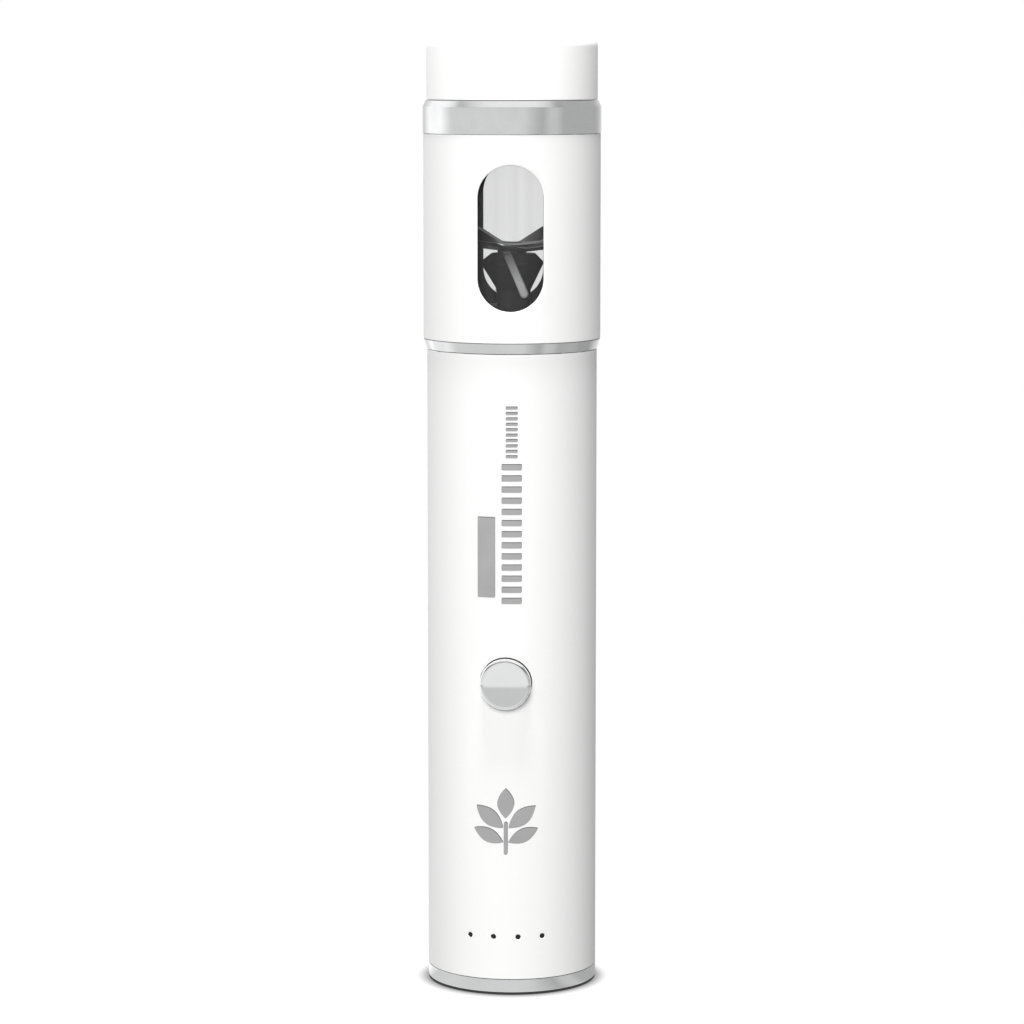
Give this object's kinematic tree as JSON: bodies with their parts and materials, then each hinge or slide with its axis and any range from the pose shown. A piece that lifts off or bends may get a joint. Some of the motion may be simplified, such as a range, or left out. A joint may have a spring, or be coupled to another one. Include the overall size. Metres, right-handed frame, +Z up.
{
  "type": "rechargeable herb grinder",
  "caption": "Slim rechargeable herb and spice grinder: a painted tube with a thumb button and charge lights, a clear windowed grinding chamber that pulls off, and a domed cap.",
  "frame": {"origin": "centre of the foot pad's flat face, on the grinder's axis", "axes": "+Z up along the grinder's axis, -Y towards the button and the charge lights, +Y towards the charging socket"},
  "size_m": [0.0366, 0.0374, 0.1986],
  "materials": {
    "white_paint": "matte",
    "white_cap": "matte",
    "satin_aluminium": "satin",
    "polished_button": "polished",
    "clear_plastic": "gloss",
    "black_plastic": "satin",
    "smoked_plastic": "gloss",
    "rubber": "matte",
    "silicone": "satin",
    "black_cutter": "satin",
    "cutter_steel": "satin",
    "plated_steel": "satin",
    "circuit_board": "satin",
    "light_package": "satin",
    "cell_wrap": "gloss",
    "nickel": "satin",
    "copper": "satin",
    "bronze": "satin",
    "ferrite": "matte",
    "gear_nylon": "satin",
    "red_insulation": "satin",
    "black_insulation": "satin"
  },
  "bodies": {
    "housing": {"foot_pad": "rubber", "base_plug": "black_plastic", "base_ring": "satin_aluminium", "base_screw_1": "plated_steel", "base_screw_2": "plated_steel", "body_tube": "white_paint", "chassis_rear": "black_plastic", "chassis_front": "black_plastic", "charge_board": "circuit_board", "charge_socket": "plated_steel", "charge_socket_insert": "black_plastic", "charge_light_1": "light_package", "charge_light_2": "light_package", "charge_light_3": "light_package", "charge_light_4": "light_package", "light_pipe": "smoked_plastic", "cell": "cell_wrap", "cell_tab_top": "nickel", "cell_tab_bottom": "nickel", "switch_housing": "black_plastic", "switch_board": "circuit_board", "cell_lead": "black_insulation", "motor_lead_red": "red_insulation", "motor_lead_black": "black_insulation", "motor_can": "plated_steel", "motor_end_cap": "black_plastic", "motor_terminal_left": "copper", "motor_terminal_right": "copper", "motor_magnet_left": "ferrite", "motor_magnet_right": "ferrite", "ring_gear": "gear_nylon", "gearbox_cover": "plated_steel", "neck_collar": "black_plastic", "shaft_seal": "silicone", "collar_screw_left": "plated_steel", "collar_screw_right": "plated_steel"},
    "button": {"push_button": "polished_button", "switch_plunger": "black_plastic"},
    "rotor": {"motor_shaft": "plated_steel", "armature_core": "plated_steel", "armature_winding": "copper", "commutator": "copper", "sun_gear": "bronze"},
    "carrier": {"planet_carrier": "plated_steel", "output_shaft": "plated_steel", "grind_hub": "black_plastic", "finger_cutter": "cutter_steel", "flat_cutter": "black_cutter", "vee_cutter": "black_cutter", "cutter_screw": "cutter_steel"},
    "planet_1": {"planet_gear_1": "gear_nylon"},
    "planet_2": {"planet_gear_2": "gear_nylon"},
    "planet_3": {"planet_gear_3": "gear_nylon"},
    "neck_seal": {"neck_o_ring": "silicone"},
    "head": {"chamber": "clear_plastic", "head_sleeve": "white_paint", "bevel_ring": "satin_aluminium", "top_ring": "satin_aluminium"},
    "cap_seal": {"cap_o_ring": "silicone"},
    "cap": {"cap": "white_cap"}
  },
  "joints": [
    {"name": "button_press", "type": "slide", "parent": "housing", "child": "button", "axis": [0, 1, 0], "range_m": [0, 0.0006], "stiffness_N_per_m": 3000},
    {"name": "motor_spin", "type": "hinge", "parent": "housing", "child": "rotor", "pos_m": [0, 0, 0.1035], "axis": [0, 0, 1], "continuous": true},
    {"name": "carrier_spin", "type": "hinge", "parent": "housing", "child": "carrier", "pos_m": [0, 0, 0.131], "axis": [0, 0, 1], "continuous": true},
    {"name": "planet_1_spin", "type": "hinge", "parent": "carrier", "child": "planet_1", "pos_m": [0.00629, 0, 0.12615], "axis": [0, 0, 1], "continuous": true},
    {"name": "planet_2_spin", "type": "hinge", "parent": "carrier", "child": "planet_2", "pos_m": [-0.00314, 0.00545, 0.12615], "axis": [0, 0, 1], "continuous": true},
    {"name": "planet_3_spin", "type": "hinge", "parent": "carrier", "child": "planet_3", "pos_m": [-0.00314, -0.00545, 0.12615], "axis": [0, 0, 1], "continuous": true},
    {"name": "head_turn", "type": "hinge", "parent": "housing", "child": "neck_seal", "pos_m": [0, 0, 0.13575], "axis": [0, 0, 1], "continuous": true},
    {"name": "head_lift", "type": "slide", "parent": "neck_seal", "child": "head", "axis": [0, 0, 1], "range_m": [0, 0.03]},
    {"name": "cap_turn", "type": "hinge", "parent": "head", "child": "cap_seal", "pos_m": [0, 0, 0.18645], "axis": [0, 0, 1], "continuous": true},
    {"name": "cap_lift", "type": "slide", "parent": "cap_seal", "child": "cap", "axis": [0, 0, 1], "range_m": [0, 0.01]}
  ],
  "couplings": [
    {"joint": "carrier_spin", "follows": "motor_spin", "ratio": 0.2},
    {"joint": "planet_1_spin", "follows": "motor_spin", "ratio": -0.53333},
    {"joint": "planet_2_spin", "follows": "motor_spin", "ratio": -0.53333},
    {"joint": "planet_3_spin", "follows": "motor_spin", "ratio": -0.53333}
  ]
}
